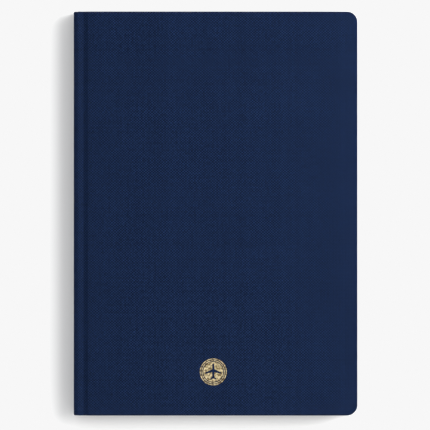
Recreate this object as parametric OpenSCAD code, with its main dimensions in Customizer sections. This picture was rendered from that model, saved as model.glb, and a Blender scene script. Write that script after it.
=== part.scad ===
// Pilot logbook: a cloth-bound, section-sewn hardback, closed and lying on its back cover.
// Front cover up, spine on the left (-X), head at +Y. The origin is under the middle of the book.

/* [Cover] */
// Width of the closed book, from the spine to the fore edge
book_w = 148; // [120:1:220]
// Height of the closed book, from head to tail
book_h = 210.7; // [160:0.1:320]
// Thickness of each cover board
board_t = 2.2; // [1.6:0.1:3.2]
// Thickness of the book cloth
cloth_t = 0.4; // [0.2:0.1:0.5]
// Radius of the two fore-edge corners of each cover
corner_r = 5.5; // [3:0.5:12]
// Width of the cloth turned in over the board edges
turn_in_w = 15; // [10:1:20]
// Cloth left showing round the pasted-down endpaper
cloth_margin = 3; // [2:0.5:5]

/* [Joint] */
// Thickness of the spine: from the outside of the cloth to the folds of the pages
spine_depth = 3.2; // [3:0.1:4]
// Distance from the outside of the spine to the edge of the cover board
joint_w = 7.5; // [7:0.1:10]
// Radius of the shoulder where the cloth turns from the spine to the cover
shoulder_r = 2; // [2:0.1:3]
// How far the shoulder lies below the face of the cover
shoulder_drop = 0.2; // [0.1:0.1:0.6]
// Distance from the outside of the spine to the lowest line of the groove
groove_x = 5.2; // [4.5:0.1:5.6]
// Depth of the groove below the face of the cover
groove_depth = 1.1; // [0.8:0.1:1.8]

/* [Pages] */
// Number of sewn sections, each a bundle of folded sheets
section_count = 10; // [4:1:12]
// Thickness of one section
section_t = 0.84; // [0.6:0.02:1.2]
// Number of leaves at the front that turn one by one
leaf_count = 3; // [1:1:4]
// Thickness of one of those leaves
leaf_t = 0.15; // [0.1:0.01:0.2]
// Thickness of an endpaper
endpaper_t = 0.2; // [0.15:0.01:0.25]
// Air between two leaves that turn separately
leaf_gap = 0.05; // [0.03:0.01:0.1]
// How far the covers stand past the pages at head, tail and fore edge
overhang = 3; // [2:0.5:5]
// Radius of the two fore-edge corners of the pages
page_corner_r = 4; // [2:0.5:10]

/* [Sewing and spine linings] */
// Thickness of the sewing thread
thread_d = 0.4; // [0.3:0.05:0.4]
// Number of places along the spine where the thread shows
stitch_count = 6; // [4:1:8]
// Distance between two of those places
stitch_pitch = 30; // [20:1:32]
// Thickness of the gauze lining and of the paper lining
lining_t = 0.2; // [0.1:0.05:0.2]
// Thickness of the spine board
spine_board_t = 1.4; // [0.8:0.1:1.4]
// Thickness of the headband cord
headband_d = 1.6; // [1.2:0.1:1.8]

/* [Emblem] */
// Diameter of the foil emblem
emblem_d = 14; // [10:0.5:24]
// Distance of the emblem's centre from the middle of the cover
emblem_x = -1.2; // [-20:0.1:20]
// Height of the emblem's centre above the tail of the cover
emblem_y = 22.8; // [15:0.1:60]
// Thickness of the foil
foil_t = 0.15; // [0.05:0.05:0.15]

/* [Hidden] */
$fn = 64;
HALF_ARC_STEPS = 10;

// Heights, from the table up
cover_t = cloth_t + board_t + cloth_t + endpaper_t;
back_flyleaf_z = cover_t + leaf_gap;
sections_z = back_flyleaf_z + endpaper_t + leaf_gap;
leaves_z = sections_z + section_count * section_t + leaf_gap;
flyleaf_z = leaves_z + leaf_count * (leaf_t + leaf_gap);
front_cover_z = flyleaf_z + endpaper_t + leaf_gap;
book_t = front_cover_z + cover_t;

// Places across the book, measured in X
spine_x = -book_w / 2;
fold_x = spine_x + spine_depth;
board_x = spine_x + joint_w;
fore_x = book_w / 2;
page_fore_x = fore_x - overhang;
page_h = book_h - 2 * overhang;

// Each leaf starts a little clear of the folds and of the leaf above it, so that it can turn past them
leaf_step_x = 0.4;
flyleaf_x = fold_x + leaf_step_x;

// The stiff spine stops short of the covers, so that it clears them as they turn
spine_clearance = 1;
spine_low_z = cover_t + spine_clearance;
spine_high_z = front_cover_z - spine_clearance;
spine_z = spine_high_z - spine_low_z;

thread_x = fold_x - thread_d / 2;
mull_x = fold_x - thread_d - lining_t;
lining_x = mull_x - lining_t;
headband_x = mull_x + headband_d / 2;
headband_tape_h = 9;
mull_h = page_h - 2 * headband_tape_h - 2;

// The foil lies a little below the face of the cloth
foil_sunk = 0.05;
recess_t = foil_t + foil_sunk;
emblem_r = emblem_d / 2;

function two_digits(i) = str(i < 10 ? "0" : "", i);
SECTIONS = [for (i = [1 : section_count]) str("section_", two_digits(i))];
LEAVES = [for (i = [1 : leaf_count]) str("leaf_", two_digits(i))];

// ---- Shared shapes ----

// An upright rectangle from x0 to x1, with its two right-hand corners rounded
module sheet_outline(x0, x1, h, r) {
    translate([x0, -h / 2])
        square([x1 - x0 - r, h]);
    translate([x1 - r, -h / 2 + r])
        square([r, h - 2 * r]);
    for (side = [-1, 1])
        translate([x1 - r, side * (h / 2 - r)])
            circle(r);
}

// A flat sheet of thickness t whose lower face is at height z
module sheet(x0, x1, h, r, z, t) {
    translate([0, 0, z])
        linear_extrude(t)
            sheet_outline(x0, x1, h, r);
}

// Turns a part of the front cover into the matching part of the back cover
module to_back() {
    translate([0, 0, book_t])
        mirror([0, 0, 1])
            children();
}

// ---- Covers ----

module cover_board() {
    color("tan")
        sheet(board_x, fore_x - cloth_t, book_h - 2 * cloth_t, corner_r - cloth_t,
            front_cover_z + endpaper_t + cloth_t, board_t);
}

// The cloth over the face and three edges of a board, turned in on the inside
module cover_cloth() {
    turned_z = front_cover_z + endpaper_t;
    difference() {
        sheet(board_x, fore_x, book_h, corner_r, turned_z, book_t - turned_z);
        sheet(board_x - 1, fore_x - cloth_t, book_h - 2 * cloth_t, corner_r - cloth_t,
            turned_z + cloth_t, board_t);
        translate([board_x - 1, -book_h / 2 + turn_in_w, turned_z - 1])
            cube([fore_x - turn_in_w - board_x + 1, book_h - 2 * turn_in_w, 1 + cloth_t]);
    }
}

// The endpaper glued to the inside of a board, thicker where it fills the frame of turned-in cloth
module pastedown() {
    color("ivory") {
        sheet(board_x, fore_x - cloth_margin, book_h - 2 * cloth_margin, corner_r - cloth_margin / 2,
            front_cover_z, endpaper_t);
        translate([board_x, -book_h / 2 + turn_in_w, front_cover_z + endpaper_t])
            cube([fore_x - turn_in_w - board_x, book_h - 2 * turn_in_w, cloth_t]);
    }
}

// Height of the outside of the joint at a distance d from the outside of the spine, past the shoulder
function joint_height(d) =
    let (shoulder_z = book_t - shoulder_drop, groove_z = book_t - groove_depth)
    d < groove_x
        ? groove_z + (shoulder_z - groove_z) * (1 + cos(180 * (d - shoulder_r) / (groove_x - shoulder_r))) / 2
        : groove_z + groove_depth * (1 - cos(180 * (d - groove_x) / (joint_w - groove_x))) / 2;

// Points of the joint's outside (inset 0) or inside (inset cloth_t), from the spine to the board
function joint_points(inset) = concat(
    [[inset, spine_high_z]],
    [for (i = [0 : HALF_ARC_STEPS])
        let (a = 180 - 90 * i / HALF_ARC_STEPS, r = shoulder_r - inset)
        [shoulder_r + r * cos(a), book_t - shoulder_drop - shoulder_r + r * sin(a)]],
    [for (i = [1 : 2 * HALF_ARC_STEPS])
        let (d = shoulder_r + (joint_w - shoulder_r) * i / (2 * HALF_ARC_STEPS))
        [d, joint_height(d) - inset]]
);

function reversed(points) = [for (i = [len(points) - 1 : -1 : 0]) points[i]];

// The cloth over the shoulder and the groove, between the spine and the cover board
module joint_cloth() {
    translate([spine_x, book_h / 2, 0])
        rotate([90, 0, 0])
            linear_extrude(book_h)
                polygon(concat(joint_points(0), reversed(joint_points(cloth_t))));
}

// ---- Foil emblem: an aeroplane in a disc, with rings round it ----

module aeroplane_outline() {
    nose = 0.62 * emblem_r;
    body_r = 0.08 * emblem_r;
    wing_span = 0.6 * emblem_r;
    tail_span = 0.24 * emblem_r;
    tail_y = -0.5 * emblem_r;
    translate([0, nose - body_r])
        circle(body_r);
    translate([-body_r, tail_y])
        square([2 * body_r, nose - body_r - tail_y]);
    for (side = [0, 1])
        mirror([side, 0]) {
            polygon([[0, 3 * body_r], [wing_span, -0.6 * body_r], [wing_span, -2 * body_r], [0, 0]]);
            polygon([[0, tail_y + 2 * body_r], [tail_span, tail_y], [tail_span, tail_y - body_r],
                [0, tail_y]]);
        }
}

module foil_outline() {
    // Radii as shares of the emblem's own
    rings = [[1, 0.93], [0.87, 0.8]];
    disc = 0.74;
    translate([emblem_x, emblem_y - book_h / 2]) {
        for (ring = rings)
            difference() {
                circle(ring[0] * emblem_r);
                circle(ring[1] * emblem_r);
            }
        difference() {
            circle(disc * emblem_r);
            aeroplane_outline();
        }
    }
}

// ---- Sub-parts of the front cover ----

module front_board() {
    cover_board();
}

module front_cloth() {
    color("midnightblue")
        difference() {
            cover_cloth();
            translate([0, 0, book_t - recess_t])
                linear_extrude(recess_t + 1)
                    foil_outline();
        }
}

module foil_emblem() {
    color("gold")
        translate([0, 0, book_t - recess_t])
            linear_extrude(foil_t)
                foil_outline();
}

module front_pastedown() {
    pastedown();
}

// ---- Sub-parts of the book block ----

module front_joint_cloth() {
    color("midnightblue")
        joint_cloth();
}

module back_joint_cloth() {
    color("midnightblue")
        to_back()
            joint_cloth();
}

module front_flyleaf() {
    color("ivory")
        sheet(flyleaf_x, page_fore_x, page_h, page_corner_r, flyleaf_z, endpaper_t);
}

module back_flyleaf() {
    color("ivory")
        sheet(flyleaf_x, page_fore_x, page_h, page_corner_r, back_flyleaf_z, endpaper_t);
}

// Leaf 1 is the top one
module leaf(i) {
    color("whitesmoke")
        sheet(flyleaf_x + i * leaf_step_x, page_fore_x, page_h, page_corner_r,
            flyleaf_z - i * (leaf_t + leaf_gap), leaf_t);
}

// Section 1 is the top one. Its fold is round, on the spine side
module section(i) {
    z = sections_z + (section_count - i) * section_t;
    fold_r = section_t / 2;
    color("snow") {
        sheet(fold_x + fold_r, page_fore_x, page_h, page_corner_r, z, section_t);
        intersection() {
            translate([fold_x + fold_r, page_h / 2, z + fold_r])
                rotate([90, 0, 0])
                    cylinder(r = fold_r, h = page_h);
            translate([fold_x, -page_h / 2, z])
                cube([fold_r, page_h, section_t]);
        }
    }
}

// The stretches of thread that cross the folds from the last section to the first
module sewing_thread() {
    color("white")
        for (i = [0 : stitch_count - 1])
            translate([thread_x, (i - (stitch_count - 1) / 2) * stitch_pitch, spine_low_z])
                cylinder(d = thread_d, h = spine_z);
}

module spine_mull() {
    color("linen")
        translate([mull_x, -mull_h / 2, spine_low_z])
            cube([lining_t, mull_h, spine_z]);
}

module spine_lining() {
    color("peru")
        translate([lining_x, -page_h / 2, spine_low_z])
            cube([lining_t, page_h, spine_z]);
}

// A cord along the end of the spine, on a tape that is glued between the linings and the folds
module headband() {
    color("steelblue") {
        translate([headband_x, page_h / 2 + headband_d / 2, spine_low_z])
            cylinder(d = headband_d, h = spine_z);
        translate([mull_x, page_h / 2 - headband_tape_h, spine_low_z])
            cube([lining_t, headband_tape_h + headband_d / 2, spine_z]);
    }
}

module headband_head() {
    headband();
}

module headband_tail() {
    mirror([0, 1, 0])
        headband();
}

module spine_board() {
    color("tan")
        translate([spine_x + cloth_t, -book_h / 2 + cloth_t, spine_low_z])
            cube([spine_board_t, book_h - 2 * cloth_t, spine_z]);
}

module spine_cloth() {
    color("midnightblue")
        translate([spine_x, -book_h / 2, spine_low_z])
            cube([cloth_t, book_h, spine_z]);
}

// ---- Sub-parts of the back cover ----

module back_board() {
    to_back()
        cover_board();
}

module back_cloth() {
    color("midnightblue")
        to_back()
            cover_cloth();
}

module back_pastedown() {
    to_back()
        pastedown();
}

// ---- The book ----

front_board();
front_cloth();
foil_emblem();
front_pastedown();
front_joint_cloth();
front_flyleaf();
for (i = [1 : leaf_count])
    leaf(i);
for (i = [1 : section_count])
    section(i);
sewing_thread();
spine_mull();
spine_lining();
headband_head();
headband_tail();
spine_board();
spine_cloth();
back_flyleaf();
back_joint_cloth();
back_pastedown();
back_board();
back_cloth();
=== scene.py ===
"""Pilot logbook: the visible pieces of a cloth-bound, section-sewn hardback, built round its CAD frame."""

import math
import random

import bmesh
import bpy
from mathutils import Matrix, Vector


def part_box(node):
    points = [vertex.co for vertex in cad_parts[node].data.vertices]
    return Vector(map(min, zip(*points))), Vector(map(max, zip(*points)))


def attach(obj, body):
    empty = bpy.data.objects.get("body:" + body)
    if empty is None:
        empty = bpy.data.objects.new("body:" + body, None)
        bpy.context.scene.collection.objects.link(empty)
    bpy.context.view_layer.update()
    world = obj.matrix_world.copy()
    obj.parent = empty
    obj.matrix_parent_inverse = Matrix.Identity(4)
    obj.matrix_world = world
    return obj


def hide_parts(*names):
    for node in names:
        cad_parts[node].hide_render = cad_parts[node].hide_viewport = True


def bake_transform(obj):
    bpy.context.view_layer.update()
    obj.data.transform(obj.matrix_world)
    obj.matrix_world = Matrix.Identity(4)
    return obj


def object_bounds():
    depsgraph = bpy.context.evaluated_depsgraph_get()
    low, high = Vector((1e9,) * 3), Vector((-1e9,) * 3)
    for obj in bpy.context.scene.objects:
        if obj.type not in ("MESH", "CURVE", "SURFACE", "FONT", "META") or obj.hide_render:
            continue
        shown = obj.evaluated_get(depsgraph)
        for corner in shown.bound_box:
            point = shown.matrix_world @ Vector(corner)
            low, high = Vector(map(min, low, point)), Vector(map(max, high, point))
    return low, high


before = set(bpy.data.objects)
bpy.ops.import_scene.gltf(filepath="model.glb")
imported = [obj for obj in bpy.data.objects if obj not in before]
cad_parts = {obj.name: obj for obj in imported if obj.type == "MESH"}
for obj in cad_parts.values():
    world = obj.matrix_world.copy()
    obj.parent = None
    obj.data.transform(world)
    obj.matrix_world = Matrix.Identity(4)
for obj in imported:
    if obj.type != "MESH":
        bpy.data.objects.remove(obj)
cad_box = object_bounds()

MM = 0.001

# ---- Sizes, from the frame ----

SPINE_X, TAIL_Y, BASE_Z = cad_box[0]
FORE_X, HEAD_Y, TOP_Z = cad_box[1]
MID_Z = (BASE_Z + TOP_Z) / 2
BOARD_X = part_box("front_board")[0].x
BOARD_LOW_Z, BOARD_HIGH_Z = (corner.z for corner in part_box("front_board"))
BOARD_T = BOARD_HIGH_Z - BOARD_LOW_Z
CLOTH_T = TOP_Z - BOARD_HIGH_Z
COVER_IN_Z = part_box("front_pastedown")[0].z
PAPER_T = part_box("front_cloth")[0].z - COVER_IN_Z
CLOTH_MARGIN = FORE_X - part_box("front_pastedown")[1].x
STIFF_SPINE_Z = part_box("spine_board")[1].z
SPINE_BOARD_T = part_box("spine_board")[1].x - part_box("spine_board")[0].x
PAGE_HEAD_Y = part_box("section_01")[1].y
FOLD_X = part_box("section_01")[0].x
PAGE_FORE_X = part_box("section_01")[1].x
EMBLEM_LOW, EMBLEM_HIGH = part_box("foil_emblem")
EMBLEM_X = (EMBLEM_LOW.x + EMBLEM_HIGH.x) / 2
EMBLEM_Y = (EMBLEM_LOW.y + EMBLEM_HIGH.y) / 2
EMBLEM_R = (EMBLEM_HIGH.x - EMBLEM_LOW.x) / 2
SECTIONS = sorted(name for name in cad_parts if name.startswith("section_"))
LEAVES = sorted(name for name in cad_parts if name.startswith("leaf_"))

# ---- Sizes that the frame doesn't give ----

CORNER_R = 5.5 * MM
PAGE_CORNER_R = 4 * MM
TURN_IN_W = 15 * MM
EDGE_R = 0.6 * MM
SPINE_EDGE_R = 1 * MM
SPINE_END_DROP = 0.12 * MM
CLOTH_SOLID_T = 0.3 * MM
CORNER_STEPS = 7
EMBLEM_SUNK = 0.12 * MM
FOLD_BUMP = 0.15 * MM
FRAME_SUNK = 0.25 * MM
LEAF_BEND_W = 12 * MM
SHEETS_IN_SECTION = 4
HEADBAND_STRIPE = 0.8 * MM
WARP_PITCH = 0.772 * MM
WEFT_PITCH = 0.703 * MM
COVER_GRID = 2.5 * MM
EMBLEM_GRID = 0.35 * MM

# ---- Colours ----

NAVY = (0.0065, 0.0148, 0.0446)
BUFF = (0.53, 0.475, 0.375)
OFF_WHITE = (0.66, 0.645, 0.59)
BOARD_GREY = (0.36, 0.33, 0.29)
KRAFT_BROWN = (0.42, 0.27, 0.15)
THREAD_CREAM = (0.75, 0.7, 0.58)
RULE_BLUE = (0.16, 0.24, 0.4, 1)
HEADING_BLUE = (0.55, 0.65, 0.78, 1)

rng = random.Random(7)


# ---- Small mesh tools ----


def lerp(a, b, t):
    return a + (b - a) * t


def smooth(t):
    """0 before 0, 1 after 1, and an S-curve in between."""
    t = min(max(t, 0.0), 1.0)
    return t * t * (3 - 2 * t)


def spaced(low, high, step):
    """Evenly spaced values from low to high, at most step apart."""
    if high <= low:
        return [high]
    count = math.ceil((high - low) / step - 1e-6)
    return [lerp(low, high, i / count) for i in range(count + 1)]


def lines(low, high, step, fine=()):
    """Values from low to high, step apart, and closer in each fine stretch (from, to, step)."""
    values, at = [], low
    for start, end, fine_step in sorted(fine):
        values += spaced(at, start, step)[:-1] + spaced(start, end, fine_step)[:-1]
        at = end
    return values + spaced(at, high, step)


def new_piece(name, points, faces, uvs=None, material=None):
    """A smooth-shaded mesh object. uvs holds one place in metres for each point."""
    mesh = bpy.data.meshes.new(name)
    mesh.from_pydata(points, [], faces)
    if uvs:
        layer = mesh.uv_layers.new(name="metres")
        for loop in mesh.loops:
            layer.data[loop.index].uv = uvs[loop.vertex_index]
    mesh.shade_smooth()
    piece = bpy.data.objects.new(name, mesh)
    bpy.context.scene.collection.objects.link(piece)
    if material:
        mesh.materials.append(material)
    return piece


def tidy_mesh(piece, inside):
    """Joins points that fell together, drops faces with no area and turns the rest away from inside."""
    mesh = bmesh.new()
    mesh.from_mesh(piece.data)
    bmesh.ops.remove_doubles(mesh, verts=mesh.verts, dist=1e-7)
    bmesh.ops.dissolve_degenerate(mesh, edges=mesh.edges, dist=1e-7)
    bmesh.ops.recalc_face_normals(mesh, faces=mesh.faces)
    middle = Vector(inside)
    facing = sum(f.calc_area() * f.normal.dot(f.calc_center_median() - middle) for f in mesh.faces)
    if facing < 0:
        bmesh.ops.reverse_faces(mesh, faces=mesh.faces)
    mesh.to_mesh(piece.data)
    mesh.free()


def thicken(piece, thickness, offset=-1.0):
    """Turns a sheet into a closed solid. offset -1 puts the solid under the sheet, 0 half on each side."""
    solidify = piece.modifiers.new("thickness", "SOLIDIFY")
    solidify.thickness = thickness
    solidify.offset = offset
    depsgraph = bpy.context.evaluated_depsgraph_get()
    solid = bpy.data.meshes.new_from_object(piece.evaluated_get(depsgraph), depsgraph=depsgraph)
    piece.modifiers.clear()
    piece.data = solid
    solid.name = piece.name
    solid.set_sharp_from_angle(angle=math.radians(40))


def flip_to_back(points):
    """Mirrors points of the front cover into the back cover."""
    return [(x, y, 2 * MID_Z - z) for x, y, z in points]


def grid_faces(columns, rows):
    """Quads between neighbours of a grid whose points are listed column by column."""
    return [
        (c * rows + r, (c + 1) * rows + r, (c + 1) * rows + r + 1, c * rows + r + 1)
        for c in range(columns - 1)
        for r in range(rows - 1)
    ]


def strip_faces(first, second):
    """Quads between two equally long lists of point numbers."""
    return [
        (first[i], first[i + 1], second[i + 1], second[i])
        for i in range(len(first) - 1)
    ]


class RoundedSheet:
    """A grid over an upright sheet whose two fore-edge corners are round.

    columns and rows are x and y values up to the start of the corners; the corners' own lines are added."""

    def __init__(self, columns, half_height, fore_x, radius, row_step, row_fine=()):
        self.centre_x = fore_x - radius
        self.centre_y = half_height - radius
        self.radius = radius
        corner = [i / CORNER_STEPS for i in range(1, CORNER_STEPS + 1)]
        straight = lines(-self.centre_y, self.centre_y, row_step, row_fine)
        self.columns = [(x, 0.0) for x in columns] + [(None, a) for a in corner]
        tail = [(None, -b) for b in reversed(corner)]
        head = [(None, b) for b in corner]
        self.rows = tail + [(y, 0.0) for y in straight] + head

    def place(self, column, row):
        """The x and y of a grid point. Corner squares are bent into quarter discs."""
        x, a = column
        y, b = row
        if x is None:
            x = self.centre_x + self.radius * a * math.sqrt(1 - b * b / 2)
        if y is None:
            squeeze = math.sqrt(1 - a * a / 2)
            y = math.copysign(self.centre_y, b) + self.radius * b * squeeze
        return x, y

    def rim(self):
        """Column and row numbers round the tail, fore edge and head."""
        last_column, last_row = len(self.columns) - 1, len(self.rows) - 1
        return (
            [(c, 0) for c in range(last_column + 1)]
            + [(last_column, r) for r in range(1, last_row + 1)]
            + [(c, last_row) for c in range(last_column - 1, -1, -1)]
        )

    def outward(self, column, row):
        """The direction away from the sheet at a rim point."""
        x, a = self.columns[column]
        y, b = self.rows[row]
        if x is None and y is None:
            px, py = self.place(self.columns[column], self.rows[row])
            away = Vector((px - self.centre_x, py - math.copysign(self.centre_y, b)))
            return away.normalized()
        if column == len(self.columns) - 1:
            return Vector((1, 0))
        return Vector((0, math.copysign(1, row - 1)))


# ---- Materials ----


class Shader:
    """Builds the nodes of one material. Each input may be a number, a colour or another node's output."""

    def __init__(self, name):
        self.material = bpy.data.materials.new(name)
        self.material.use_nodes = True
        self.nodes = self.material.node_tree.nodes
        self.links = self.material.node_tree.links
        self.surface = self.nodes["Principled BSDF"]

    def put(self, socket, value):
        if isinstance(value, bpy.types.NodeSocket):
            self.links.new(value, socket)
        else:
            socket.default_value = value

    def set(self, **values):
        """Sets the surface's own sockets, such as Base_Color."""
        for name, value in values.items():
            self.put(self.surface.inputs[name.replace("_", " ")], value)

    def math(self, operation, *values):
        node = self.nodes.new("ShaderNodeMath")
        node.operation = operation
        for socket, value in zip(node.inputs, values):
            self.put(socket, value)
        return node.outputs[0]

    def total(self, *values):
        result = values[0]
        for value in values[1:]:
            result = self.math("ADD", result, value)
        return result

    def mix(self, factor, first, second):
        node = self.nodes.new("ShaderNodeMix")
        node.data_type = "RGBA"
        self.put(node.inputs[0], factor)
        self.put(node.inputs[6], first)
        self.put(node.inputs[7], second)
        return node.outputs[2]

    def metres(self):
        """The place on the flat sheet, in metres."""
        node = self.nodes.new("ShaderNodeUVMap")
        node.uv_map = "metres"
        return self.split(node.outputs[0])[:2]

    def place(self):
        """The place in the frame, in metres."""
        return self.split(self.nodes.new("ShaderNodeTexCoord").outputs["Object"])

    def split(self, vector):
        node = self.nodes.new("ShaderNodeSeparateXYZ")
        self.links.new(vector, node.inputs[0])
        return tuple(node.outputs)

    def join(self, *values):
        node = self.nodes.new("ShaderNodeCombineXYZ")
        for socket, value in zip(node.inputs, values):
            self.put(socket, value)
        return node.outputs[0]

    def noise(self, sizes, *places, detail=2.0):
        """Soft noise from 0 to 1. sizes are the widths of its blotches along each of the places."""
        scaled = [self.math("DIVIDE", place, size) for place, size in zip(places, sizes)]
        node = self.nodes.new("ShaderNodeTexNoise")
        node.inputs["Scale"].default_value = 1.0
        node.inputs["Detail"].default_value = detail
        self.links.new(self.join(*scaled), node.inputs["Vector"])
        return node.outputs["Fac"]

    def random_tone(self, value):
        """A random number from 0 to 1 for each whole number in value."""
        node = self.nodes.new("ShaderNodeTexWhiteNoise")
        node.noise_dimensions = "1D"
        self.put(node.inputs["W"], self.math("FLOOR", value))
        return node.outputs["Value"]

    def rise(self, value, low, high):
        """0 below low, 1 above high, and an S-curve in between."""
        node = self.nodes.new("ShaderNodeMapRange")
        node.interpolation_type = "SMOOTHSTEP"
        for name, number in {"Value": value, "From Min": low, "From Max": high}.items():
            self.put(node.inputs[name], number)
        return node.outputs["Result"]

    def vary(self, factor, amount, source, middle=0.5):
        """factor times 1 + amount * (source - middle)."""
        swing = self.math("MULTIPLY_ADD", self.math("SUBTRACT", source, middle), amount, 1.0)
        return self.math("MULTIPLY", factor, swing)

    def lerp(self, first, second, share):
        """first where share is 0, and second where it is 1."""
        return self.math("MULTIPLY_ADD", self.math("SUBTRACT", second, first), share, first)

    def tint(self, colour, factor):
        """colour times a grey factor."""
        node = self.nodes.new("ShaderNodeVectorMath")
        node.operation = "SCALE"
        self.put(node.inputs[0], colour[:3])
        self.put(node.inputs["Scale"], factor)
        return node.outputs[0]

    def bump(self, height, distance, strength=1.0):
        node = self.nodes.new("ShaderNodeBump")
        node.inputs["Strength"].default_value = strength
        node.inputs["Distance"].default_value = distance
        self.put(node.inputs["Height"], height)
        self.links.new(node.outputs[0], self.surface.inputs["Normal"])


def weave(shader, x, y, warp_pitch, weft_pitch, wander=0.6):
    """A plain weave: its height from 0 to 1, over (1 where the warp lies on top, -1 where the weft
    does) and the numbers of the warp and weft threads."""
    drift_x = shader.noise((5 * warp_pitch, 9 * weft_pitch), x, y)
    drift_y = shader.noise((9 * warp_pitch, 5 * weft_pitch), x, y)
    warp = shader.math("MULTIPLY_ADD", drift_x, wander, shader.math("DIVIDE", x, warp_pitch))
    weft = shader.math("MULTIPLY_ADD", drift_y, wander, shader.math("DIVIDE", y, weft_pitch))
    warp_wave = shader.math("SINE", shader.math("MULTIPLY", warp, math.pi))
    weft_wave = shader.math("SINE", shader.math("MULTIPLY", weft, math.pi))
    over = shader.math("MULTIPLY", warp_wave, weft_wave)
    roundness = 0.6

    def thread_top(wave, side):
        profile = shader.math("POWER", shader.math("ABSOLUTE", wave), roundness)
        return shader.math("MULTIPLY", profile, shader.math("MULTIPLY_ADD", over, 0.5 * side, 0.5))

    height = shader.math("MAXIMUM", thread_top(warp_wave, 1), thread_top(weft_wave, -1))
    return height, over, warp, weft


def book_cloth():
    """Navy book cloth: a plain weave with uneven threads and pale fibres on top. Its colour holds painted
    shade between the threads, and painted light that makes warp and weft floats lighter and darker.
    """
    shader = Shader("book_cloth")
    x, y = shader.metres()
    height, over, warp, weft = weave(shader, x, y, WARP_PITCH, WEFT_PITCH)
    along_warp = shader.noise((WARP_PITCH, 9 * MM), x, y)
    along_weft = shader.noise((9 * MM, WEFT_PITCH), x, y)
    cloudy = shader.noise((18 * MM, 25 * MM), x, y, detail=3.0)
    slubs = shader.noise((1.2 * MM, 1.8 * MM), x, y, detail=3.0)
    patches = shader.noise((5 * MM, 14 * MM), x, y, detail=3.0)
    warp_fibres = shader.noise((0.09 * MM, 1.1 * MM), x, y)
    weft_fibres = shader.noise((1.1 * MM, 0.09 * MM), x, y)
    warp_on_top = shader.rise(over, -0.1, 0.1)
    fibres = shader.lerp(weft_fibres, warp_fibres, warp_on_top)
    # contrast sets how strongly warp and weft floats differ in painted light, in random patches
    contrast = shader.lerp(0.1, 1.4, patches)
    # Each change of tone: how strong it is, what drives it and the driver's middle
    changes = [
        # Painted light: warp floats and weft floats are made lighter and darker, as if they caught the light
        # differently
        (contrast, over, 0.0),
        (0.14, shader.random_tone(warp), 0.5),
        (0.12, shader.random_tone(weft), 0.5),
        (0.40, along_warp, 0.5),
        (0.36, along_weft, 0.5),
        (1.40, slubs, 0.5),
        (0.25, cloudy, 0.5),
        (0.80, fibres, 0.5),
        # Painted shade: darker where the weave is low, between the threads, and lighter on their tops
        (0.60, height, 0.75),
    ]
    factor = 1.0
    for amount, source, middle in changes:
        factor = shader.vary(factor, amount, source, middle)
    shader.set(Base_Color=shader.tint(NAVY, factor), Roughness=0.8, Specular_IOR_Level=0.04)
    shader.bump(shader.math("MULTIPLY_ADD", fibres, 0.25, height), 0.09 * MM)
    return shader.material


def gold_foil():
    """Pale gold foil stamped into the cloth, which shows through it as small facets and worn threads. Its
    colour is blotched with painted glints and painted dim reflections.
    """
    shader = Shader("gold_foil")
    # Painted light: a dim gold for painted dim reflections and a bright gold for painted glints
    painted_dim_gold, painted_glint_gold = (0.17, 0.115, 0.045, 1), (0.72, 0.6, 0.35, 1)
    worn_below = 0.12
    x, y = shader.place()[:2]
    height = weave(shader, x, y, WARP_PITCH, WEFT_PITCH)[0]
    blotches = shader.noise((1.1 * MM, 1.1 * MM), x, y, detail=3.0)
    glint = shader.rise(blotches, 0.36, 0.64)
    worn = shader.math("LESS_THAN", shader.math("MULTIPLY", height, blotches), worn_below)
    # Painted highlight: the blotches mix the foil's colour between the dim and the bright gold
    colour = shader.mix(glint, painted_dim_gold, painted_glint_gold)
    shader.set(Base_Color=shader.mix(worn, colour, (*NAVY, 1)))
    shader.set(Metallic=shader.math("SUBTRACT", 1.0, worn))
    shader.set(Roughness=shader.math("MULTIPLY_ADD", blotches, 0.3, 0.2))
    shader.bump(shader.math("MULTIPLY_ADD", blotches, 0.8, height), 0.05 * MM)
    return shader.material


def paper(name, colour, fibre_size, contrast):
    """Uncoated paper with faint fibres and clouds. Returns the shader, its factor and its places."""
    shader = Shader(name)
    x, y = shader.metres()
    fibres = shader.noise((fibre_size, fibre_size), x, y, detail=4.0)
    clouds = shader.noise((12 * MM, 12 * MM), x, y)
    factor = shader.vary(shader.vary(1.0, contrast, fibres), contrast / 2, clouds)
    shader.set(Base_Color=shader.tint(colour, factor), Roughness=0.85, Specular_IOR_Level=0.25)
    shader.bump(fibres, 0.01 * MM)
    return shader, factor, x, y


def endpaper():
    return paper("endpaper", BUFF, 0.5 * MM, 0.06)[0].material


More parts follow.
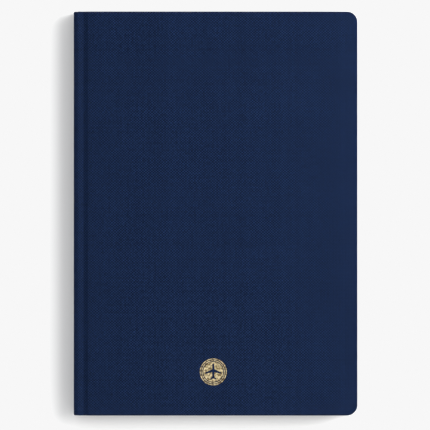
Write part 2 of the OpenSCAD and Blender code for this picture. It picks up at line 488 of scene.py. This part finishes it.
def page_paper():
    """Leaves ruled as a blank log: a tinted heading, columns and rows."""
    shader, factor, x, y = paper("page_paper", OFF_WHITE, 0.4 * MM, 0.04)
    page_w, page_h = PAGE_FORE_X - FOLD_X, 2 * PAGE_HEAD_Y
    margin = HEAD_Y - PAGE_HEAD_Y
    gutter_w, fore_margin, end_margin, heading_h = 9 * MM, 8 * MM, 12 * MM, 14 * MM
    left, right = gutter_w, page_w - fore_margin
    bottom, top = margin + end_margin, margin + page_h - end_margin
    heading = top - heading_h
    row_h, line_w = 7 * MM, 0.12 * MM
    column_edges = [0, 0.11, 0.27, 0.38, 0.49, 0.58, 0.67, 0.76, 0.85, 1]

    def between(value, low, high):
        above = shader.math("GREATER_THAN", value, low)
        return shader.math("MULTIPLY", above, shader.math("LESS_THAN", value, high))

    from_row = shader.math("PINGPONG", shader.math("SUBTRACT", heading, y), row_h / 2)
    ruled = shader.math("COMPARE", from_row, 0.0, line_w / 2)
    for share in column_edges:
        ruled = shader.math("MAXIMUM", ruled, shader.math("COMPARE", x, lerp(left, right, share), line_w))
    for edge in (bottom, top):
        ruled = shader.math("MAXIMUM", ruled, shader.math("COMPARE", y, edge, line_w))
    across = between(x, left - line_w, right + line_w)
    inside = shader.math("MULTIPLY", across, between(y, bottom - line_w, top + line_w))
    ink = shader.math("MULTIPLY", ruled, inside)
    band = shader.math("MULTIPLY", between(y, heading, top), inside)
    tone = shader.nodes.new("ShaderNodeAttribute")
    tone.attribute_name = "tone"
    plain = shader.tint(OFF_WHITE, shader.vary(factor, 0.22, tone.outputs["Fac"], 0.9))
    tinted = shader.mix(shader.math("MULTIPLY", band, 0.5), plain, HEADING_BLUE)
    shader.set(Base_Color=shader.mix(shader.math("MULTIPLY", ink, 0.65), tinted, RULE_BLUE))
    return shader.material


def board_grey():
    """Pressed grey board with flecks."""
    shader = Shader("greyboard")
    x, y, z = shader.place()
    flecks = shader.noise((0.5 * MM, 0.5 * MM, 0.2 * MM), x, y, z, detail=5.0)
    layers = shader.noise((20 * MM, 20 * MM, 0.12 * MM), x, y, z)
    factor = shader.vary(shader.vary(1.0, 0.5, flecks), 0.3, layers)
    shader.set(Base_Color=shader.tint(BOARD_GREY, factor), Roughness=0.9)
    shader.bump(flecks, 0.03 * MM)
    return shader.material


def kraft_paper():
    shader = Shader("kraft_paper")
    x, y, z = shader.place()
    fibres = shader.noise((0.3 * MM, 2 * MM, 0.3 * MM), x, y, z, detail=4.0)
    shader.set(Base_Color=shader.tint(KRAFT_BROWN, shader.vary(1.0, 0.6, fibres)), Roughness=0.85)
    shader.bump(fibres, 0.02 * MM)
    return shader.material


def gauze():
    """Starched open gauze: cream threads with glue in the gaps."""
    shader = Shader("gauze")
    pitch = 0.9 * MM
    glue, cream = (0.45, 0.36, 0.24, 1), (0.78, 0.73, 0.62, 1)
    y, z = shader.place()[1:]
    height = weave(shader, z, y, pitch, pitch)[0]
    colour = shader.mix(height, glue, cream)
    shader.set(Base_Color=colour, Roughness=0.8)
    shader.bump(height, 0.1 * MM)
    return shader.material


def linen_thread():
    """Waxed thread, with the twist of its plies."""
    shader = Shader("linen_thread")
    x, y, z = shader.place()
    twist_pitch = 0.5 * MM
    twist = shader.math("SINE", shader.math("MULTIPLY", shader.total(x, y, z), 2 * math.pi / twist_pitch))
    # Painted shade: the colour is darker in the grooves of the twist and lighter on its crests
    factor = shader.vary(1.0, 0.25, twist, 0.0)
    shader.set(Base_Color=shader.tint(THREAD_CREAM, factor), Roughness=0.6)
    shader.bump(twist, 0.04 * MM)
    return shader.material


def headband_cotton():
    """Navy and white thread, wound in stripes of two turns."""
    shader = Shader("headband_cotton")
    u, v = shader.metres()
    navy, white = (0.03, 0.06, 0.16, 1), (0.75, 0.73, 0.66, 1)
    wave = shader.math("SINE", shader.math("MULTIPLY", v, math.pi / HEADBAND_STRIPE))
    stripe = shader.math("GREATER_THAN", wave, 0.0)
    strands = shader.noise((1.5 * MM, 0.06 * MM), u, v)
    colour = shader.mix(stripe, navy, white)
    dark = shader.mix(0.35, colour, (0.0, 0.0, 0.0, 1))
    shader.set(Base_Color=shader.mix(strands, dark, colour), Roughness=0.5, Sheen_Weight=0.2)
    shader.bump(strands, 0.03 * MM)
    return shader.material


BOOK_CLOTH = book_cloth()
GOLD_FOIL = gold_foil()
ENDPAPER = endpaper()
PAGE_PAPER = page_paper()
GREYBOARD = board_grey()
KRAFT_PAPER = kraft_paper()
GAUZE = gauze()
LINEN_THREAD = linen_thread()
HEADBAND = headband_cotton()


# ---- Cover cloth: one sheet for each cover, meeting in the middle of the spine ----

# Corners of the joint's outline, from the middle of the spine: distance from the outside of the spine, depth
# below the face of the cover, and radius
JOINT_CORNERS = [
    (0, TOP_Z - MID_Z, 0),
    (0, 1.25 * MM, 0.95 * MM),
    (2.15 * MM, 0.15 * MM, 1 * MM),
    (5.2 * MM, 1.15 * MM, 1.4 * MM),
    (BOARD_X - SPINE_X + 0.2 * MM, 0, 0.9 * MM),
    (BOARD_X - SPINE_X + 0.8 * MM, 0, 0),
]


def rounded_line(corners, step, arc_step):
    """Points (x, z, inward x, inward z) along straight lines that are joined by arcs."""
    places = [Vector((SPINE_X + u, TOP_Z - depth)) for u, depth, radius in corners]
    stations, start = [], places[0]
    for k in range(1, len(places)):
        ahead = (places[k] - places[k - 1]).normalized()
        turn, reach, radius = 0.0, 0.0, corners[k][2]
        if radius:
            after = (places[k + 1] - places[k]).normalized()
            turn = math.atan2(ahead.x * after.y - ahead.y * after.x, ahead.dot(after))
            reach = radius * math.tan(abs(turn) / 2)
        end = places[k] - reach * ahead
        for t in spaced(0, (end - start).length, step)[:-1]:
            stations.append((*(start + t * ahead), ahead.y, -ahead.x))
        side = Vector((-ahead.y, ahead.x)) * math.copysign(radius, turn)
        for a in spaced(0, abs(turn), arc_step / radius)[:-1] if radius else []:
            spun = Matrix.Rotation(math.copysign(a, turn), 2)
            point, heading = end + side - spun @ side, spun @ ahead
            stations.append((*point, heading.y, -heading.x))
        start = places[k] + reach * after if radius else places[k]
    stations.append((*start, 0.0, -1.0))
    return stations


def spine_end_drop(x):
    """How far the ends of the spine stop short of the ends of the boards."""
    return SPINE_END_DROP * (1 - smooth((x - SPINE_X - 2 * MM) / (1.2 * MM)))


def edge_radius(x):
    return lerp(SPINE_EDGE_R, EDGE_R, smooth((x - SPINE_X) / (1 * MM)))


def inward(x, z, nx, nz):
    """The way from the outside of the cloth to the outside of the cloth turned in under it."""
    board_part = smooth((x - (BOARD_X - 1.1 * MM)) / (0.7 * MM))
    spine_part = smooth((STIFF_SPINE_Z + 0.6 * MM - z) / (0.6 * MM))
    return Vector((2 * CLOTH_T * nx + SPINE_BOARD_T * spine_part, 2 * CLOTH_T * nz - BOARD_T * board_part))


def edge_steps(depth, radius):
    """(inset from the outline, depth) round the edge of a cover and along the turned-in cloth."""
    round_z = min(radius, depth / 2)
    quarter = [math.radians(90 * i / 4) for i in range(5)]
    steps = [(radius * (1 - math.sin(a)), round_z * (1 - math.cos(a))) for a in quarter]
    steps += [(radius * (1 - math.cos(a)), depth - round_z * (1 - math.sin(a))) for a in quarter]
    return steps + [(lerp(radius, TURN_IN_W, i / 6), depth) for i in range(1, 7)]


def cover_cloth(name, to_back, emblem):
    """The cloth from the middle of the spine over the joint and the board, turned in on three sides."""
    stations = rounded_line(JOINT_CORNERS, 0.3 * MM, 0.15 * MM)
    joint_count = len(stations)
    joint_end_x = stations[-1][0]
    zone = EMBLEM_R + 1 * MM
    corner_x = FORE_X - CORNER_R
    fine_x = [(EMBLEM_X - zone, EMBLEM_X + zone, EMBLEM_GRID)] if emblem else []
    fine_y = [(EMBLEM_Y - zone, EMBLEM_Y + zone, EMBLEM_GRID)] if emblem else []
    stations += [(x, TOP_Z, 0.0, -1.0) for x in lines(joint_end_x, corner_x, COVER_GRID, fine_x)[1:]]
    face_h = HEAD_Y - EDGE_R
    columns = [station[0] for station in stations]
    sheet = RoundedSheet(columns, face_h, FORE_X - EDGE_R, CORNER_R - EDGE_R, COVER_GRID, fine_y)
    stations += [(FORE_X, TOP_Z, 0.0, -1.0)] * (len(sheet.columns) - len(stations))
    inwards = [inward(*station) for station in stations]

    along = [0.0]
    for before, after in zip(stations[:joint_count], stations[1:joint_count]):
        along.append(along[-1] + math.dist(before[:2], after[:2]))
    joint_length = along[-1]

    def face_point(c, r):
        x, y = sheet.place(sheet.columns[c], sheet.rows[r])
        z = stations[c][1]
        if c < joint_count:
            shrink = (HEAD_Y - spine_end_drop(x) - edge_radius(x)) / face_h
            return (x, y * shrink, z), (along[c], y)
        if emblem:
            away = math.hypot(x - EMBLEM_X, y - EMBLEM_Y)
            z -= EMBLEM_SUNK * smooth((EMBLEM_R + 0.5 * MM - away) / (0.4 * MM))
        return (x, y, z), (joint_length + x - joint_end_x, y)

    def rim_point(c, r, inset, depth):
        x, z = stations[c][:2]
        away = sheet.outward(c, r)
        side = math.copysign(1, away.y)
        if c < joint_count:
            way = inwards[c].normalized() * depth
            return x + way.x, side * (HEAD_Y - spine_end_drop(x) - inset), z + way.y
        limit_x, limit_y = FORE_X - inset, HEAD_Y - inset
        x, y = sheet.place(sheet.columns[c], sheet.rows[r])
        if away.x == 0:
            return min(x, limit_x), side * limit_y, TOP_Z - depth
        if away.y == 0:
            return limit_x, min(max(y, -limit_y), limit_y), TOP_Z - depth
        if inset > CORNER_R:
            return limit_x, side * limit_y, TOP_Z - depth
        reach = CORNER_R - inset
        return corner_x + reach * away.x, side * (HEAD_Y - CORNER_R) + reach * away.y, TOP_Z - depth

    points, uvs = [], []
    for c in range(len(sheet.columns)):
        for r in range(len(sheet.rows)):
            point, uv = face_point(c, r)
            points.append(point)
            uvs.append(uv)
    faces = grid_faces(len(sheet.columns), len(sheet.rows))

    rim = sheet.rim()
    ring = [c * len(sheet.rows) + r for c, r in rim]
    turns = [edge_steps(inwards[c].length, edge_radius(stations[c][0])) for c, r in rim]
    walked = [0.0] * len(rim)
    for step in range(1, len(turns[0])):
        new_ring = []
        for k, (c, r) in enumerate(rim):
            inset, depth = turns[k][step]
            walked[k] += math.dist(turns[k][step - 1], turns[k][step])
            away = sheet.outward(c, r)
            base = face_point(c, r)[1]
            points.append(rim_point(c, r, inset, depth))
            uvs.append((base[0] + away.x * walked[k], base[1] + away.y * walked[k]))
            new_ring.append(len(points) - 1)
        faces += strip_faces(ring, new_ring)
        ring = new_ring

    if to_back:
        points = flip_to_back(points)
        uvs = [(-u, v) for u, v in uvs]
    piece = new_piece(name, points, faces, uvs, BOOK_CLOTH)
    board_low, board_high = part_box("back_board" if to_back else "front_board")
    tidy_mesh(piece, (board_low + board_high) / 2)
    thicken(piece, CLOTH_SOLID_T)
    flat_w = joint_length + FORE_X - EDGE_R - joint_end_x + max(walked)
    flat_h = 2 * (face_h + max(walked))
    return piece, (flat_w, flat_h)


# ---- Paper ----


def pastedown(name, to_back):
    """The endpaper glued inside a cover. It crosses the joint to the fold, and sinks inside the turn-ins."""
    frame_x, frame_y = FORE_X - TURN_IN_W, HEAD_Y - TURN_IN_W
    start_x = FOLD_X + 0.25 * MM
    fold_end = start_x + 1 * MM
    strip_end = BOARD_X + 0.2 * MM
    step_w = 0.8 * MM
    grid, fold_grid, strip_grid, step_grid = 4 * MM, 0.1 * MM, 0.25 * MM, 0.2 * MM
    radius = CORNER_R - CLOTH_MARGIN / 2
    fore_x, half_height = FORE_X - CLOTH_MARGIN, HEAD_Y - CLOTH_MARGIN
    fine_x = [
        (start_x, fold_end, fold_grid),
        (fold_end, strip_end, strip_grid),
        (frame_x - step_w, frame_x, step_grid),
    ]
    fine_y = [(-frame_y, -frame_y + step_w, step_grid), (frame_y - step_w, frame_y, step_grid)]
    columns = lines(start_x, fore_x - radius, grid, fine_x)
    sheet = RoundedSheet(columns, half_height, fore_x, radius, grid, fine_y)
    points, uvs = [], []
    for column in sheet.columns:
        for row in sheet.rows:
            x, y = sheet.place(column, row)
            z = COVER_IN_Z
            if x < strip_end:
                z += FOLD_BUMP * math.sin(math.pi * (x - start_x) / (strip_end - start_x))
            within = smooth((frame_x - x) / step_w) * smooth((frame_y - abs(y)) / step_w)
            z += FRAME_SUNK * within * smooth((x - strip_end) / step_w)
            points.append((x, y, z))
            uvs.append((x - FOLD_X, y + HEAD_Y))
    points = flip_to_back(points) if to_back else points
    piece = new_piece(name, points, grid_faces(len(sheet.columns), len(sheet.rows)), uvs, ENDPAPER)
    tidy_mesh(piece, (0, 0, BASE_Z if to_back else TOP_Z))
    thicken(piece, 0.8 * PAPER_T)
    return piece


def turning_leaf(name, node, material):
    """A leaf that lies flat in the closed book, with its columns closer together near its fold."""
    low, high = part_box(node)
    bend_end = low.x + LEAF_BEND_W
    columns = lines(low.x, high.x - PAGE_CORNER_R, 6 * MM, [(low.x, bend_end, 1.2 * MM)])
    sheet = RoundedSheet(columns, high.y, high.x, PAGE_CORNER_R, 12 * MM)
    points, uvs = [], []
    for column in sheet.columns:
        for row in sheet.rows:
            x, y = sheet.place(column, row)
            points.append((x, y, high.z))
            uvs.append((x - FOLD_X, y + HEAD_Y))
    piece = new_piece(name, points, grid_faces(len(sheet.columns), len(sheet.rows)), uvs, material)
    tidy_mesh(piece, (0, 0, BASE_Z))
    thicken(piece, high.z - low.z)
    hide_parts(node)
    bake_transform(piece)
    return piece


def page_stations(fore_x, half_height):
    """(x, half height) of a page from its fore edge to its straight part, round the corner."""
    centre_x, centre_y = fore_x - PAGE_CORNER_R, half_height - PAGE_CORNER_R
    angles = [math.radians(90 * i / CORNER_STEPS) for i in range(CORNER_STEPS + 1)]
    return [(centre_x + PAGE_CORNER_R * math.cos(a), centre_y + PAGE_CORNER_R * math.sin(a)) for a in angles]


def section_sheets(node):
    """One sewn section: folded sheets nested in each other, each giving a lower and an upper leaf."""
    low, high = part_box(node)
    leaf_t = (high.z - low.z) / (2 * SHEETS_IN_SECTION)
    fold_r = (high.z - low.z) / 2
    fold_x, fold_z = low.x + fold_r, low.z + fold_r
    trim = 0.07 * MM
    fold_steps = 8
    points, uvs, faces, tones = [], [], [], []
    for sheet in range(SHEETS_IN_SECTION):
        reach = fold_r - (sheet + 0.5) * leaf_t
        rows = []
        for side in (-1, 1):
            fore_x = high.x + rng.uniform(-trim, 0)
            half_height = high.y + rng.uniform(-trim, 0)
            tone = rng.random()
            leaf = [(x, fold_z + side * reach, h, tone) for x, h in page_stations(fore_x, half_height)]
            leaf.append((fold_x, fold_z + side * reach, half_height, tone))
            rows += leaf if side < 0 else leaf[::-1]
            if side < 0:
                for step in range(1, fold_steps):
                    a = math.pi * step / fold_steps
                    x, z = fold_x - reach * math.sin(a), fold_z - reach * math.cos(a)
                    rows.append((x, z, half_height, tone))
        first = len(points)
        for x, z, half, tone in rows:
            points += [(x, -half, z), (x, half, z)]
            uvs += [(x - FOLD_X, HEAD_Y - half), (x - FOLD_X, HEAD_Y + half)]
            tones += [tone, tone]
        faces += [
            (first + 2 * i, first + 2 * i + 1, first + 2 * i + 3, first + 2 * i + 2)
            for i in range(len(rows) - 1)
        ]
    piece = new_piece(node + "_sheets", points, faces, uvs, PAGE_PAPER)
    layer = piece.data.attributes.new("tone", "FLOAT", "POINT")
    layer.data.foreach_set("value", tones)
    thicken(piece, 0.88 * leaf_t, offset=0)
    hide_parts(node)
    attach(piece, "book_block")
    return piece


# ---- Headbands ----


def headband(node):
    """A cord along the end of the spine, wound with thread in stripes, on its cotton tape."""
    low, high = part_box(node)
    at_head = low.y > 0
    radius = (high.x - low.x) / 2
    centre_x = (low.x + high.x) / 2
    centre_y = high.y - radius if at_head else low.y + radius
    wraps = 19
    steps_in_wrap, sides = 6, 20
    groove_share = 0.14
    end_sharpness = 40
    rings = wraps * steps_in_wrap
    points, uvs = [], []
    for ring in range(rings + 1):
        t = ring / rings
        groove = abs(math.sin(math.pi * t * wraps))
        end = math.sqrt(1 - (2 * t - 1) ** end_sharpness)
        r = radius * (1 - groove_share + groove_share * math.sqrt(groove)) * max(end, 0.02)
        for side in range(sides):
            a = 2 * math.pi * side / sides
            z = lerp(low.z, high.z, t)
            points.append((centre_x + r * math.cos(a), centre_y + r * math.sin(a), z))
            uvs.append((a * radius, z - low.z))
    faces = [
        (ring * sides + side, ring * sides + (side + 1) % sides,
         (ring + 1) * sides + (side + 1) % sides, (ring + 1) * sides + side)
        for ring in range(rings)
        for side in range(sides)
    ]
    faces += [tuple(range(sides))[::-1], tuple(rings * sides + side for side in range(sides))]
    tape_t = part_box("spine_mull")[1].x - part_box("spine_mull")[0].x
    tape_end = low.y if at_head else high.y
    first = len(points)
    for x in (low.x, low.x + tape_t):
        for y in sorted((tape_end, centre_y)):
            for z in (low.z, high.z):
                points.append((x, y, z))
                uvs.append((abs(y - centre_y), z - low.z))
    box_faces = [(0, 1, 3, 2), (4, 6, 7, 5), (0, 4, 5, 1), (2, 3, 7, 6), (0, 2, 6, 4), (1, 5, 7, 3)]
    faces += [tuple(first + i for i in face) for face in box_faces]
    piece = new_piece(node + "_wound", points, faces, uvs, HEADBAND)
    tidy_mesh(piece, (centre_x, centre_y, (low.z + high.z) / 2))
    piece.data.set_sharp_from_angle(angle=math.radians(60))
    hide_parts(node)
    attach(piece, "book_block")
    return piece


# ---- The book ----

front_cloth, front_flat = cover_cloth("front_cover_cloth", to_back=False, emblem=True)
back_cloth, back_flat = cover_cloth("back_cover_cloth", to_back=True, emblem=False)
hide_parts("front_cloth", "front_joint_cloth", "spine_cloth")
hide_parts("back_cloth", "back_joint_cloth")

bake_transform(front_cloth)


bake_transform(back_cloth)

front_pastedown = pastedown("front_pastedown_sheet", to_back=False)
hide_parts("front_pastedown")
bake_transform(front_pastedown)
back_pastedown = pastedown("back_pastedown_sheet", to_back=True)
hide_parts("back_pastedown")
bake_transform(back_pastedown)

turning_leaf("front_flyleaf_sheet", "front_flyleaf", ENDPAPER)
turning_leaf("back_flyleaf_sheet", "back_flyleaf", ENDPAPER)
for leaf in LEAVES:
    turning_leaf(leaf + "_sheet", leaf, PAGE_PAPER)
for section in SECTIONS:
    section_sheets(section)
for end in ("headband_head", "headband_tail"):
    headband(end)

CAD_FINISHES = {
    "front_board": GREYBOARD,
    "back_board": GREYBOARD,
    "spine_board": GREYBOARD,
    "spine_lining": KRAFT_PAPER,
    "spine_mull": GAUZE,
    "sewing_thread": LINEN_THREAD,
    "foil_emblem": GOLD_FOIL,
}
for node, material in CAD_FINISHES.items():
    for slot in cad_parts[node].material_slots:
        slot.material = material

# ---- Floor, light and camera ----

CAMERA_HEIGHT = 2.2
VIEW_W = 224.2 * MM
VIEW_CENTRE = (-0.3 * MM, -0.76 * MM)
SENSOR_W = 36
FLOOR_W = 6
FLOOR_GREY = 0.96
SKY_STRENGTH = 0.84
# Each light: where it stands, its width, its height and its power
KEY_LIGHT = (Vector((0.91, 0.31, 1.35)), 0.95, 0.72, 13.4)
SIDE_LIGHT = (Vector((0.4, 0.14, 0.2)), 0.3, 0.3, 2.0)
WHITE_LEVEL = 0.93

floor = bpy.data.objects.new("floor", bpy.data.meshes.new("floor"))
corners = [(-1, -1), (1, -1), (1, 1), (-1, 1)]
floor_points = [(x * FLOOR_W / 2, y * FLOOR_W / 2, BASE_Z) for x, y in corners]
floor.data.from_pydata(floor_points, [], [(0, 1, 2, 3)])
bpy.context.scene.collection.objects.link(floor)
floor_shader = Shader("floor")
floor_shader.set(Base_Color=(FLOOR_GREY, FLOOR_GREY, FLOOR_GREY, 1), Roughness=0.9, Specular_IOR_Level=0.0)
floor.data.materials.append(floor_shader.material)

world = bpy.data.worlds.new("studio")
world.use_nodes = True
world.node_tree.nodes["Background"].inputs["Color"].default_value = (1, 1, 1, 1)
world.node_tree.nodes["Background"].inputs["Strength"].default_value = SKY_STRENGTH
bpy.context.scene.world = world

for name, (place, width, height, power) in {"key_light": KEY_LIGHT, "side_light": SIDE_LIGHT}.items():
    light = bpy.data.objects.new(name, bpy.data.lights.new(name, "AREA"))
    light.data.shape = "RECTANGLE"
    light.data.size = width
    light.data.size_y = height
    light.data.energy = power
    light.location = place
    light.rotation_euler = place.to_track_quat("Z", "Y").to_euler()
    light.visible_camera = False
    bpy.context.scene.collection.objects.link(light)

camera = bpy.data.objects.new("camera", bpy.data.cameras.new("camera"))
camera.data.sensor_width = SENSOR_W
camera.data.lens = SENSOR_W * CAMERA_HEIGHT / VIEW_W
camera.location = (*VIEW_CENTRE, TOP_Z + CAMERA_HEIGHT)
camera.data.clip_end = 10
bpy.context.scene.collection.objects.link(camera)
bpy.context.scene.camera = camera

# The floor is overexposed, and its white is a little under full
view = bpy.context.scene.view_settings
view.view_transform = "Standard"
view.use_curve_mapping = True
view.curve_mapping.extend = "HORIZONTAL"
tone_curve = view.curve_mapping.curves[3]
tone_curve.points[0].location = (0, 0)
tone_curve.points[1].location = (WHITE_LEVEL, WHITE_LEVEL)
view.curve_mapping.update()
